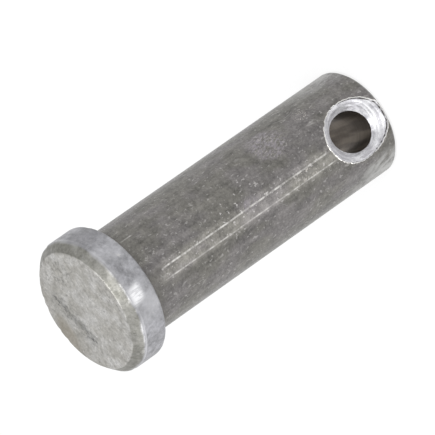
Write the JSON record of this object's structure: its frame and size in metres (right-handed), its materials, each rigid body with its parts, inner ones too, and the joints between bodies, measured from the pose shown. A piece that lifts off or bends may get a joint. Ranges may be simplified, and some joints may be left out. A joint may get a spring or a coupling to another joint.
{
  "type": "clevis pin",
  "caption": "Solid steel clevis pin: a plain round shank under a chamfered disc head, with a countersunk cotter hole across the tip.",
  "frame": {"origin": "middle of the tip's flat end face, which the pin stands on", "axes": "+Z along the shank from the tip to the head; the cotter hole runs along Y, with its eccentric front mouth on the -Y side; +X is to its right"},
  "size_m": [0.0162, 0.016, 0.0413],
  "materials": {
    "steel": "dull grey mill-finish low-carbon steel, die-marked along the shank and pitted on the head, with bright freshly cut countersinks"
  },
  "bodies": {
    "root": {"clevis_pin": "steel"}
  },
  "joints": []
}
